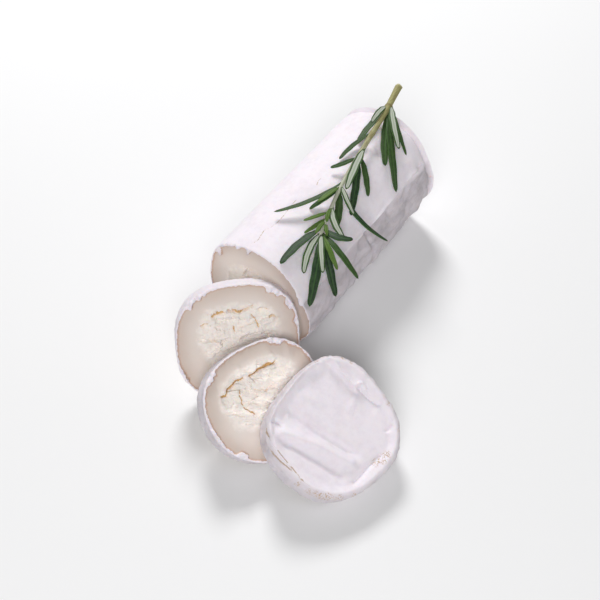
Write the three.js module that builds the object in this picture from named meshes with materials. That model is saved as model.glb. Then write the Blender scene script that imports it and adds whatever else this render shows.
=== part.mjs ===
// A goat cheese log: what is left of the log lies on its side, three slices cut from it
// lean one on the next in front of its cut face, and a sprig of rosemary lies along the top.
//
// Millimetres and degrees, +Z up. While it is being built, the origin is on the surface
// under the log's cut face, with +X along the log. The finished group is moved so that
// the origin is at the middle of its bounding box's bottom.
import * as THREE from "three";

// ---- driving dimensions ----

const UP = new THREE.Vector3(0, 0, 1);

const LOG_AXIS_HEIGHT = 25.6; // a little under the radius: the cheese sags on to a flat strip
const FAR_END_ROUNDING = 6; // the rind turns the corner at the log's far end
const END_SLICE_ROUNDING = 3; // and, more sharply, round the end slice's face
const DISH_WIDTH = 7; // from the end slice's rim to the flat middle of its face
const DISH_DEPTH = 1;
const CUT_BULGE = 0.2; // a cut slice's side swells a little between its faces
const SAG = 0.4; // how far a leaning slice's lowest edge has flattened on the surface

const COLUMNS = 60; // round the outline of a piece of cheese
const CORNER_STEPS = 5; // round the turn of the rind
const LEAF_COLUMNS = 6; // round a leaf
const LEAF_ROWS = 9; // along a leaf
const STEM_COLUMNS = 10;
const STEM_ROWS = 30;

// Each piece of cheese is a round of this radius, pressed out of true by a few shallow waves:
// how many lobes go round, how deep they are, and where the first lobe points.
// Depth is how far the piece goes back from its face. The face looks along its heading (from
// +X towards +Y) and is tipped up by its tilt.
// Angles round the outline start at the face's level direction and run up the face.
const CHEESE = {
  cheese_log: {
    radius: 25.7,
    depth: 98,
    waves: [
      { lobes: 2, depth: 0.7, turn: -80 },
      { lobes: 3, depth: 0.6, turn: -15 },
      { lobes: 5, depth: 0.4, turn: -10 },
    ],
    face: { x: 0, y: 0, z: LOG_AXIS_HEIGHT },
    heading: 180,
    tilt: 0,
    profile: logProfile,
  },
  cut_slice_upright: {
    radius: 25.9,
    depth: 4.8,
    waves: [
      { lobes: 2, depth: 0.4, turn: 90 },
      { lobes: 3, depth: 0.2, turn: 60 },
      { lobes: 4, depth: 1, turn: 42 },
    ],
    face: { x: -23.5, y: -7.6, z: 25.8 },
    heading: 225,
    tilt: 25,
    profile: cutProfile,
  },
  cut_slice_leaning: {
    radius: 24.3,
    depth: 9,
    waves: [
      { lobes: 2, depth: 0.8, turn: -5 },
      { lobes: 3, depth: 0.7, turn: 40 },
      { lobes: 4, depth: 0.5, turn: 35 },
    ],
    face: { x: -37.3, y: -31.2, z: 22.5 },
    heading: 251,
    tilt: 55,
    profile: cutProfile,
  },
  end_slice: {
    radius: 25.8,
    depth: 12,
    waves: [
      { lobes: 2, depth: 0.5, turn: 40 },
      { lobes: 3, depth: 0.8, turn: -60 },
      { lobes: 4, depth: 0.9, turn: -30 },
    ],
    face: { x: -33.4, y: -60, z: 22 },
    heading: 248,
    tilt: 62,
    profile: endProfile,
  },
};

const STEM_ROUTE = [
  [109, 2, 58], // the cut end, past the log's far end
  [92, -1.5, 57.2],
  [70, -5, 56.4],
  [44, -9.5, 54.8],
  [21, -15.5, 51.5], // the growing tip
];
const STEM_RADIUS_CUT = 1.6;
const STEM_RADIUS_TIP = 0.6;
const LEAF_THICKNESS = 0.9;
const LEAF_ROOT_GAP = 0.4; // between the stem's surface and a leaf's foot

// Leaves stand in clusters along the stem. at: distance from the cut end. around: which side
// of the stem, from straight up towards the log's left. splay: angle away from the stem's
// growing direction. rise and sweep: how far the leaf's middle bows up, and to its left.
// roll: which way the blade faces, 0 with its upper side up, 180 with its underside up.
const LEAVES = [
  { name: "leaf_a1", at: 15, around: 115, splay: 16, length: 21, width: 2.8, rise: -0.5, sweep: -0.8, roll: 20 },
  { name: "leaf_a2", at: 14, around: 60, splay: 14, length: 13, width: 2.2, rise: 1.4, sweep: 0, roll: 170 },
  { name: "leaf_a3", at: 31, around: 112, splay: 25, length: 19, width: 2.0, rise: -0.4, sweep: -1.3, roll: 10 },
  { name: "leaf_a4", at: 14, around: -126, splay: 23, length: 29, width: 3.0, rise: 0, sweep: -1.0, roll: -10 },
  { name: "leaf_a5", at: 12, around: -100, splay: 30, length: 25, width: 2.8, rise: 2.6, sweep: -1.0, roll: 170 },
  { name: "leaf_a6", at: 12, around: -118, splay: 42, length: 25, width: 1.9, rise: 1.2, sweep: -0.5, roll: -30 },
  { name: "leaf_a7", at: 16, around: -132, splay: 37, length: 37, width: 2.8, rise: 3.4, sweep: -0.6, roll: -10 },
  { name: "leaf_b1", at: 47, around: 97, splay: 44, length: 12, width: 2.0, rise: 0.2, sweep: 0.6, roll: 0 },
  { name: "leaf_b2", at: 41, around: -60, splay: 9, length: 26, width: 3.0, rise: 1.7, sweep: 0, roll: 175 },
  { name: "leaf_b3", at: 46, around: -135, splay: 24, length: 27, width: 2.8, rise: 0, sweep: 0.2, roll: 10 },
  { name: "leaf_b4", at: 45, around: -121, splay: 40, length: 19, width: 2.2, rise: 0.7, sweep: 0.5, roll: -10 },
  { name: "leaf_c1", at: 62, around: 85, splay: 37, length: 32, width: 2.4, rise: 1.3, sweep: 3.2, roll: 20 },
  { name: "leaf_c2", at: 65, around: 50, splay: 25, length: 14, width: 2.2, rise: 1.0, sweep: 0.4, roll: 20 },
  { name: "leaf_c3", at: 67, around: 100, splay: 36, length: 14, width: 2.2, rise: 0.6, sweep: 0, roll: 10 },
  { name: "leaf_c4", at: 64, around: -95, splay: 42, length: 15, width: 2.2, rise: 2.6, sweep: -1.2, roll: 160 },
  { name: "leaf_c5", at: 66, around: -145, splay: 28, length: 16, width: 2.8, rise: 0, sweep: 0.2, roll: 0 },
  { name: "leaf_c6", at: 65, around: -118, splay: 72, length: 29, width: 2.4, rise: 1.2, sweep: -4.0, roll: -20 },
  { name: "leaf_d1", at: 75, around: -98, splay: 38, length: 16, width: 2.8, rise: 1.5, sweep: -2.0, roll: 170 },
  { name: "leaf_d2", at: 78, around: 69, splay: 44, length: 12, width: 1.6, rise: 0.8, sweep: 0.7, roll: 10 },
  { name: "leaf_d3", at: 81, around: 98, splay: 38, length: 11, width: 1.8, rise: 1.0, sweep: 0.8, roll: 10 },
  { name: "leaf_d4", at: 76, around: -30, splay: 14, length: 8, width: 1.6, rise: 0.8, sweep: -0.4, roll: 0 },
  { name: "leaf_e1", at: 86, around: 80, splay: 25, length: 24, width: 3.2, rise: 0, sweep: -1.5, roll: 10 },
  { name: "leaf_e2", at: 88, around: 160, splay: 8, length: 19, width: 2.6, rise: 1.0, sweep: -1.5, roll: 170 },
  { name: "leaf_e3", at: 89, around: -145, splay: 17, length: 30, width: 3.4, rise: 1.5, sweep: 0.6, roll: 0 },
  { name: "leaf_e4", at: 89, around: -80, splay: 22, length: 19, width: 2.4, rise: 3.2, sweep: -0.5, roll: 180 },
  { name: "leaf_e5", at: 89, around: -100, splay: 42, length: 17, width: 1.9, rise: 2.6, sweep: -0.4, roll: 0 },
  { name: "leaf_e6", at: 88, around: -105, splay: 57, length: 24, width: 2.4, rise: 2.6, sweep: -0.6, roll: -10 },
  { name: "leaf_e7", at: 88, around: -140, splay: 45, length: 26, width: 3.0, rise: 2.0, sweep: -0.4, roll: 0 },
  { name: "leaf_e8", at: 86, around: -90, splay: 84, length: 13, width: 2.8, rise: 0.6, sweep: -2.2, roll: 0 },
  { name: "leaf_e9", at: 84, around: -60, splay: 30, length: 7, width: 1.4, rise: 1.0, sweep: 0, roll: 0 },
  { name: "leaf_e10", at: 83, around: 20, splay: 24, length: 9, width: 1.4, rise: 0.8, sweep: 0, roll: 0 },
];

// ---- materials ----

const rind = new THREE.MeshStandardMaterial({ color: 0xebe7ea, roughness: 0.85, metalness: 0 });
const paste = new THREE.MeshStandardMaterial({ color: 0xd9c9b8, roughness: 0.55, metalness: 0 });
const leafGreen = new THREE.MeshStandardMaterial({ color: 0x35553a, roughness: 0.5, metalness: 0 });
const stemGreen = new THREE.MeshStandardMaterial({ color: 0xa3a06a, roughness: 0.7, metalness: 0 });

const radians = THREE.MathUtils.degToRad;

// ---- cheese ----

// Profiles run from the axis at the back of a piece, out, and back to the axis at its face:
// the first number is the distance from the axis, the second the height, 0 at the face.
function cutProfile({ radius, depth }) {
  return [
    [0, -depth],
    [radius, -depth],
    [radius + CUT_BULGE, -depth / 2],
    [radius, 0],
    [0, 0],
  ];
}

// An arc from one angle to another that rounds a corner of the profile.
function corner(radius, height, rounding, from, to) {
  const points = [];
  for (let i = 0; i <= CORNER_STEPS; i++) {
    const a = radians(from + ((to - from) * i) / CORNER_STEPS);
    points.push([radius - rounding + rounding * Math.cos(a), height + rounding * Math.sin(a)]);
  }
  return points;
}

// The log's far end is closed by its rind, and its near end is a plain cut.
function logProfile({ radius, depth }) {
  const turn = corner(radius, FAR_END_ROUNDING - depth, FAR_END_ROUNDING, -90, 0);
  const side = [0.75, 0.5, 0.25].map((share) => [radius, -depth * share]);
  return [[0, -depth], ...turn, ...side, [radius, 0], [0, 0]];
}

// The end slice's face is the rind of the log's own end: a rounded rim round a shallow dish.
// Its back is a plain cut.
function endProfile({ radius, depth }) {
  const turn = corner(radius, -END_SLICE_ROUNDING, END_SLICE_ROUNDING, 0, 90);
  return [[0, -depth], [radius, -depth], ...turn, [radius - DISH_WIDTH, -DISH_DEPTH], [0, -DISH_DEPTH]];
}

function outline(piece, angle) {
  const wave = ({ lobes, depth, turn }) => depth * Math.cos(lobes * (angle - radians(turn)));
  return piece.radius + piece.waves.map(wave).reduce((a, b) => a + b, 0);
}

// The matrix that takes a piece from its own frame, face up along its Z, to where it lies.
function placement({ face, heading, tilt }) {
  const h = radians(heading);
  const t = radians(tilt);
  const normal = new THREE.Vector3(Math.cos(h) * Math.cos(t), Math.sin(h) * Math.cos(t), Math.sin(t));
  const level = new THREE.Vector3().crossVectors(UP, normal).normalize();
  const rise = new THREE.Vector3().crossVectors(normal, level);
  return new THREE.Matrix4().makeBasis(level, rise, normal).setPosition(face.x, face.y, face.z);
}

// Turns the profile round the axis, presses the round out to the outline, lays it in place,
// and flattens what would be below the surface.
function cheeseMesh(name, piece) {
  const points = piece.profile(piece).map(([x, y]) => new THREE.Vector2(x, y));
  const geometry = new THREE.LatheGeometry(points, COLUMNS);
  const position = geometry.attributes.position;
  const place = placement(piece);
  const p = new THREE.Vector3();
  for (let i = 0; i < position.count; i++) {
    const angle = Math.atan2(position.getX(i), position.getZ(i));
    const grow = outline(piece, angle) / piece.radius;
    p.set(position.getZ(i) * grow, position.getX(i) * grow, position.getY(i)).applyMatrix4(place);
    position.setXYZ(i, p.x, p.y, p.z);
  }
  settle(position, name === "cheese_log" ? 0 : SAG);
  geometry.computeVertexNormals();
  const mesh = new THREE.Mesh(geometry, name.startsWith("cut") ? paste : rind);
  mesh.name = name;
  return mesh;
}

// Sets a leaning piece down until its lowest edge would be `sag` below the surface, then
// presses that edge flat. The log keeps its stated height.
function settle(position, sag) {
  let lowest = Infinity;
  for (let i = 0; i < position.count; i++) lowest = Math.min(lowest, position.getZ(i));
  const drop = sag > 0 ? lowest + sag : 0;
  for (let i = 0; i < position.count; i++) {
    position.setZ(i, Math.max(position.getZ(i) - drop, 0));
  }
}

// ---- rosemary ----

const stemCurve = new THREE.CatmullRomCurve3(
  STEM_ROUTE.map((p) => new THREE.Vector3(...p)),
  false,
  "centripetal",
);
const stemLength = stemCurve.getLength();

function stemRadius(share) {
  return THREE.MathUtils.lerp(STEM_RADIUS_CUT, STEM_RADIUS_TIP, share ** 0.6);
}

// A frame across a curve at a point: `side` level and to the left, `top` square to both.
function frameAt(curve, share) {
  const along = curve.getTangentAt(share);
  const side = new THREE.Vector3().crossVectors(UP, along).normalize();
  const top = new THREE.Vector3().crossVectors(along, side);
  return { along, side, top };
}

// Bends a shape that stands along Y from 0 to 1 on to a curve. section(share, x, z) says how
// far a point goes to the side and to the top of the curve there.
function bendOnCurve(geometry, curve, section) {
  const position = geometry.attributes.position;
  for (let i = 0; i < position.count; i++) {
    const share = THREE.MathUtils.clamp(position.getY(i), 0, 1);
    const { side, top } = frameAt(curve, share);
    const [across, over] = section(share, position.getX(i), position.getZ(i));
    const p = curve.getPointAt(share).addScaledVector(side, across).addScaledVector(top, over);
    position.setXYZ(i, p.x, p.y, p.z);
  }
  geometry.computeVertexNormals();
  return geometry;
}

function stemMesh() {
  const rod = new THREE.CylinderGeometry(1, 1, 1, STEM_COLUMNS, STEM_ROWS).translate(0, 0.5, 0);
  const geometry = bendOnCurve(rod, stemCurve, (share, x, z) => {
    const r = stemRadius(share);
    return [z * r, x * r];
  });
  const mesh = new THREE.Mesh(geometry, stemGreen);
  mesh.name = "rosemary_stem";
  return mesh;
}

// How full a leaf is along its length, from a narrow foot to a blunt tip.
function leafFullness(share) {
  const blade = Math.sqrt(Math.max(Math.sin(Math.PI * share ** 0.75), 0));
  return blade * (0.3 + 0.7 * THREE.MathUtils.smoothstep(share, 0, 0.35));
}

function leafCurve(leaf) {
  const share = leaf.at / stemLength;
  const foot = stemCurve.getPointAt(share);
  const along = stemCurve.getTangentAt(share);
  const top = UP.clone().addScaledVector(along, -UP.dot(along)).normalize();
  const left = new THREE.Vector3().crossVectors(along, top);
  const out = top.clone().multiplyScalar(Math.cos(radians(leaf.around)));
  out.addScaledVector(left, Math.sin(radians(leaf.around)));
  const chord = along.clone().multiplyScalar(Math.cos(radians(leaf.splay)));
  chord.addScaledVector(out, Math.sin(radians(leaf.splay)));
  const tip = foot.clone().addScaledVector(chord, leaf.length);
  foot.addScaledVector(out, stemRadius(share) + LEAF_ROOT_GAP + LEAF_THICKNESS / 2);
  const bow = new THREE.Vector3().crossVectors(UP, chord).normalize().multiplyScalar(leaf.sweep);
  bow.addScaledVector(UP, leaf.rise);
  const middle = foot.clone().add(tip).multiplyScalar(0.5).addScaledVector(bow, 2);
  return new THREE.QuadraticBezierCurve3(foot, middle, tip);
}

function leafMesh(leaf) {
  const ball = new THREE.SphereGeometry(0.5, LEAF_COLUMNS, LEAF_ROWS).translate(0, 0.5, 0);
  const roll = radians(leaf.roll);
  const geometry = bendOnCurve(ball, leafCurve(leaf), (share, x, z) => {
    const reach = Math.hypot(x, z) || 1;
    const across = ((z / reach) * leaf.width * leafFullness(share)) / 2;
    const over = ((x / reach) * LEAF_THICKNESS * leafFullness(share)) / 2;
    const pole = Math.hypot(x, z) < 1e-6 ? 0 : 1;
    return [
      pole * (across * Math.cos(roll) - over * Math.sin(roll)),
      pole * (across * Math.sin(roll) + over * Math.cos(roll)),
    ];
  });
  const mesh = new THREE.Mesh(geometry, leafGreen);
  mesh.name = `rosemary_${leaf.name}`;
  return mesh;
}

// ---- the whole object ----

const object = new THREE.Group();
for (const [name, piece] of Object.entries(CHEESE)) object.add(cheeseMesh(name, piece));
object.add(stemMesh());
for (const leaf of LEAVES) object.add(leafMesh(leaf));

const box = new THREE.Box3().setFromObject(object, true);
const middle = box.getCenter(new THREE.Vector3());
object.position.set(-middle.x, -middle.y, -box.min.z);

export default object;
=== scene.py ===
"""The looks of a goat cheese log: what is left of the log, three slices cut from it that lean
one on the next, and a sprig of rosemary along the top.

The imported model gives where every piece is. Each piece of cheese is a round blank that is
sculpted in its own frame: the face looks along +Z, X is level and Y runs up the face.
Shapes are written in millimetres and degrees and become metres when a mesh is written.
"""

import logging
import math
from collections.abc import Callable, Iterator, Sequence
from contextlib import contextmanager
from dataclasses import dataclass
from enum import Enum
from itertools import product

import bpy
import numpy as np
from mathutils import Matrix, Vector


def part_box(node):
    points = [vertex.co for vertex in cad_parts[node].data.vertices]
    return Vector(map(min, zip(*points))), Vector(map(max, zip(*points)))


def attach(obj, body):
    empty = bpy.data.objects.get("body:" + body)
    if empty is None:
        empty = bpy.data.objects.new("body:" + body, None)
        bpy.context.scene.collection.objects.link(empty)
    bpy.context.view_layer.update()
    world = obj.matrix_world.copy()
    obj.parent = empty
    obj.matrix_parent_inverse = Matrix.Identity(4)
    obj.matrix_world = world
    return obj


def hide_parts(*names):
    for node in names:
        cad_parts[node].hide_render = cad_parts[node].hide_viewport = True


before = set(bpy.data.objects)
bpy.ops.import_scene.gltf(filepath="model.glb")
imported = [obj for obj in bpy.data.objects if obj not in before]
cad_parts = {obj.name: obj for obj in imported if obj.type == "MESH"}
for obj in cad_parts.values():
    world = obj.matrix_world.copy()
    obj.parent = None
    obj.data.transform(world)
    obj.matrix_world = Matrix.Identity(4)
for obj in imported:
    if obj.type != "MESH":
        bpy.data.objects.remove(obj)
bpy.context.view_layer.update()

log = logging.getLogger("goat_cheese_log")

MM = 0.001
BODY = "root"
FAR_AWAY = 9.0  # millimetres: the value of a distance mark where there is nothing near

Pair = tuple[float, float]
Triple = tuple[float, float, float]
Marks = dict[str, np.ndarray]


# ---------------------------------------------------------------- numbers on a surface


def smoothstep(value: np.ndarray, low: float, high: float) -> np.ndarray:
    """Rises smoothly from 0 at low to 1 at high."""
    share = np.clip((value - low) / (high - low), 0.0, 1.0)
    return share * share * (3.0 - 2.0 * share)


def bump(value: np.ndarray, middle: float, width: float) -> np.ndarray:
    """A smooth hump of height 1 at middle that is a third as high at width from it."""
    return np.exp(-(((value - middle) / width) ** 2))


class Grain:
    """Seeded lattice noise for sculpting: the same seed always gives the same surface."""

    TABLE = 256

    def __init__(self, seed: int) -> None:
        """Draws the noise's random tables.

        Args:
            seed: Which of the many possible surfaces this one is.
        """
        rng = np.random.default_rng(seed)
        self.order = np.tile(rng.permutation(self.TABLE), 2)
        slopes = rng.normal(size=(self.TABLE, 3))
        self.slopes = slopes / np.linalg.norm(slopes, axis=1, keepdims=True)
        self.draws = rng.random((self.TABLE, 4))

    def _pick(self, cell: np.ndarray) -> np.ndarray:
        """The table row of each lattice cell."""
        wrapped = cell & (self.TABLE - 1)
        row = self.order[wrapped[:, 0]]
        for axis in range(1, cell.shape[1]):
            row = self.order[row + wrapped[:, axis]]
        return row

    def smooth(self, points: np.ndarray, size: float) -> np.ndarray:
        """Rolling noise between about -1 and 1.

        Args:
            points: Places on the surface, one row each, three columns.
            size: How far it is from one hill to the next.

        Returns:
            One value for each place.
        """
        place = points / size
        base = np.floor(place).astype(int)
        inside = place - base
        fade = inside**3 * (inside * (inside * 6.0 - 15.0) + 10.0)
        total = np.zeros(len(points))
        for corner in product((0, 1), repeat=3):
            slope = self.slopes[self._pick(base + corner)]
            weight = np.prod(np.where(corner, fade, 1.0 - fade), axis=1)
            total += weight * ((inside - corner) * slope).sum(axis=1)
        return total * 1.6

    def fractal(self, points: np.ndarray, size: float, octaves: int = 4) -> np.ndarray:
        """Noise with finer noise on it, each octave half as high and half as wide."""
        return sum(self.smooth(points, size / 2**i) / 2**i for i in range(octaves)) / 1.5

    def creases(self, points: np.ndarray, size: float, octaves: int = 3) -> np.ndarray:
        """Noise whose valleys are sharp: 0 in a crease, near 1 between creases."""
        layers = (np.abs(self.smooth(points, size / 2**i)) / 2**i for i in range(octaves))
        return np.minimum(sum(layers) * 1.4, 1.0)

    def chips(self, places: np.ndarray, size: float) -> tuple[np.ndarray, np.ndarray]:
        """Breaks a flat surface into broken-off chips, each with its own height and tilt.

        Args:
            places: Places on the surface, two columns.
            size: How wide a chip is.

        Returns:
            The height of each place, about -1 to 1, and its distance from its chip's edge.
        """
        place = places / size
        base = np.floor(place).astype(int)
        nearest = np.full(len(place), 9.0)
        second = np.full(len(place), 9.0)
        height = np.zeros(len(place))
        for step in product((-1, 0, 1), repeat=2):
            draw = self.draws[self._pick(base + step)]
            away = place - (base + step + draw[:, :2])
            gap = np.hypot(away[:, 0], away[:, 1])
            turn = draw[:, 2] * 2.0 * np.pi
            tilted = draw[:, 3] * 2.0 - 1.0 + away[:, 0] * np.cos(turn) + away[:, 1] * np.sin(turn)
            closer = gap < nearest
            second = np.where(closer, nearest, np.minimum(second, gap))
            height = np.where(closer, tilted, height)
            nearest = np.where(closer, gap, nearest)
        return height, (second - nearest) * size


@dataclass(frozen=True)
class Stroke:
    """A fold, groove or ledge along a line that is drawn on a surface.

    Attributes:
        line: The line's points, in millimetres on the surface.
        width: Half the width of the ridge or groove.
        height: How high the ridge is; a groove is below 0.
        step: How much higher the surface is on the line's left than on its right.
        fade: How far from the line the step has run out.
        taper: How far from each end the stroke reaches its full height.
    """

    line: tuple[Pair, ...]
    width: float
    height: float = 0.0
    step: float = 0.0
    fade: float = 5.0
    taper: float = 3.0

    def measure(self, places: np.ndarray) -> tuple[np.ndarray, np.ndarray]:
        """Measures how far places are from the line.

        Args:
            places: Places on the surface, two columns.

        Returns:
            The distance from the line, above 0 on its left, and how full the stroke is
            there, from 0 at its ends to 1.
        """
        points = np.array(self.line, float)
        spans = np.diff(points, axis=0)
        lengths = np.hypot(spans[:, 0], spans[:, 1])
        starts = np.concatenate([[0.0], np.cumsum(lengths)])
        best = np.full(len(places), 1e9)
        best_off = np.zeros(len(places))
        side = np.ones(len(places))
        along = np.zeros(len(places))
        for start, span, length, reached in zip(points, spans, lengths, starts):
            away = places - start
            share = np.clip(away @ span / length**2, 0.0, 1.0)
            gap = np.linalg.norm(away - share[:, None] * span, axis=1)
            turn = span[0] * away[:, 1] - span[1] * away[:, 0]
            off = np.abs(turn) / length
            closer = (gap < best - 1e-9) | ((gap < best + 1e-9) & (off > best_off))
            side = np.where(closer, np.where(turn < 0.0, -1.0, 1.0), side)
            along = np.where(closer, reached + share * length, along)
            best_off = np.where(closer, off, best_off)
            best = np.minimum(best, gap)
        full = smoothstep(np.minimum(along, starts[-1] - along), 0.0, self.taper)
        return best * side, full

    def lift(self, places: np.ndarray) -> tuple[np.ndarray, np.ndarray]:
        """Works out the stroke's relief.

        Args:
            places: Places on the surface, two columns.

        Returns:
            How far each place is raised, and how deep in the stroke it is, 0 to 1.
        """
        gap, full = self.measure(places)
        depth = bump(gap, 0.0, self.width) * full
        ledge = np.tanh(gap / (0.5 * self.width)) * np.exp(-np.abs(gap) / self.fade)
        return self.height * depth + 0.5 * self.step * ledge * full, depth


def nearest_line(strokes: Sequence[Stroke], places: np.ndarray) -> np.ndarray:
    """The distance in millimetres from the nearest of the lines, above 0 on its left."""
    best = np.full(len(places), FAR_AWAY)
    for stroke in strokes:
        gap, full = stroke.measure(places)
        gap = np.where(gap < 0.0, -1.0, 1.0) * (np.abs(gap) + 2.0 * (1.0 - full))
        best = np.where(np.abs(gap) < np.abs(best), gap, best)
    return best


# ---------------------------------------------------------------- modelling with operators


def deselect_all() -> None:
    """Deselects every object, so that an operator acts only on what is selected next."""
    bpy.ops.object.select_all(action="DESELECT")


def pick(thing: bpy.types.Object) -> None:
    """Selects one object alone and makes it active."""
    deselect_all()
    thing.select_set(True)
    bpy.context.view_layer.objects.active = thing


@contextmanager
def edit_mode(thing: bpy.types.Object, faces: bool) -> Iterator[None]:
    """Edits one mesh, in face or edge select mode, and comes back to object mode."""
    pick(thing)
    bpy.context.tool_settings.mesh_select_mode = (False, not faces, faces)
    bpy.ops.object.mode_set(mode="EDIT")
    yield
    bpy.ops.object.mode_set(mode="OBJECT")


def corners_of(thing: bpy.types.Object) -> np.ndarray:
    """The mesh's vertices in the object's own frame, in millimetres."""
    flat = np.empty(len(thing.data.vertices) * 3)
    thing.data.vertices.foreach_get("co", flat)
    return flat.reshape(-1, 3) / MM


def move_corners(thing: bpy.types.Object, places: np.ndarray) -> None:
    """Moves the mesh's vertices to places given in millimetres."""
    thing.data.vertices.foreach_set("co", (places * MM).ravel())
    thing.data.update()


def select_edges(thing: bpy.types.Object, test: Callable[[np.ndarray, np.ndarray], np.ndarray]) -> None:
    """Selects the edges whose two ends pass a test, and nothing else.

    Args:
        thing: The object.
        test: Takes the first and second ends of all edges and gives True or False for each.
    """
    mesh = thing.data
    ends = np.empty(len(mesh.edges) * 2, dtype=np.int32)
    mesh.edges.foreach_get("vertices", ends)
    ends = ends.reshape(-1, 2)
    places = corners_of(thing)
    chosen = test(places[ends[:, 0]], places[ends[:, 1]])
    mesh.vertices.foreach_set("select", np.zeros(len(mesh.vertices), dtype=bool))
    mesh.polygons.foreach_set("select", np.zeros(len(mesh.polygons), dtype=bool))
    mesh.edges.foreach_set("select", chosen)


def subdivide_edges(
    thing: bpy.types.Object, cuts: int, test: Callable[[np.ndarray, np.ndarray], np.ndarray]
) -> None:
    """Cuts the edges that pass a test into cuts + 1 equal lengths."""
    if cuts < 1:
        return
    select_edges(thing, test)
    with edit_mode(thing, faces=False):
        bpy.ops.mesh.subdivide(number_cuts=cuts)


def finish_mesh(thing: bpy.types.Object, crease: float) -> None:
    """Merges doubles, points the faces outwards and smooths the shading up to an angle."""
    with edit_mode(thing, faces=True):
        bpy.ops.mesh.select_all(action="SELECT")
        bpy.ops.mesh.remove_doubles(threshold=1e-6)
        bpy.ops.mesh.normals_make_consistent(inside=False)
    bpy.ops.object.shade_smooth_by_angle(angle=math.radians(crease))


def apply_place(thing: bpy.types.Object) -> None:
    """Puts the object at the origin, unturned, with its place in its mesh."""
    pick(thing)
    bpy.ops.object.transform_apply(location=True, rotation=True, scale=True)


def mark(thing: bpy.types.Object, marks: Marks) -> None:
    """Writes numbers on the mesh's vertices, for its material to read."""
    for name, values in marks.items():
        attribute = thing.data.attributes.new(name, "FLOAT", "POINT")
        attribute.data.foreach_set("value", np.asarray(values, dtype=np.float32))


def dress(thing: bpy.types.Object, material: bpy.types.Material) -> None:
    """Gives an object one material in place of any it has."""
    thing.data.materials.clear()
    thing.data.materials.append(material)


def seat(thing: bpy.types.Object, slot: str, *nodes: str) -> None:
    """Rides a finished piece on the body, in the place of its CAD nodes."""
    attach(thing, BODY)
    if nodes:
        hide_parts(*nodes)


# ---------------------------------------------------------------- materials


class Socket:
    """A shader value, so that maths on it is written as Python expressions."""

    def __init__(self, shader: "Shader", socket: bpy.types.NodeSocket) -> None:
        """Wraps one output socket of a shader's node."""
        self.shader = shader
        self.socket = socket

    def _math(self, operation: str, first: object, second: object) -> "Socket":
        """Adds one Math node."""
        return self.shader.node("ShaderNodeMath", {"operation": operation}, {0: first, 1: second})

    def __add__(self, other: object) -> "Socket":
        """Self plus other."""
        return self._math("ADD", self, other)

    def __radd__(self, other: object) -> "Socket":
        """Other plus self."""
        return self._math("ADD", other, self)

    def __sub__(self, other: object) -> "Socket":
        """Self less other."""
        return self._math("SUBTRACT", self, other)

    def __rsub__(self, other: object) -> "Socket":
        """Other less self."""
        return self._math("SUBTRACT", other, self)

    def __mul__(self, other: object) -> "Socket":
        """Self times other."""
        return self._math("MULTIPLY", self, other)

    def __rmul__(self, other: object) -> "Socket":
        """Other times self."""
        return self._math("MULTIPLY", other, self)

    def __abs__(self) -> "Socket":
        """Self without its sign."""
        return self._math("ABSOLUTE", self, 0.0)

    def between(self, low: float, high: float) -> "Socket":
        """Rises smoothly from 0 at low to 1 at high, or falls if low is the larger."""
        ends = {"From Min": low, "From Max": high, "Value": self}
        return self.shader.node("ShaderNodeMapRange", {"interpolation_type": "SMOOTHSTEP"}, ends)


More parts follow.
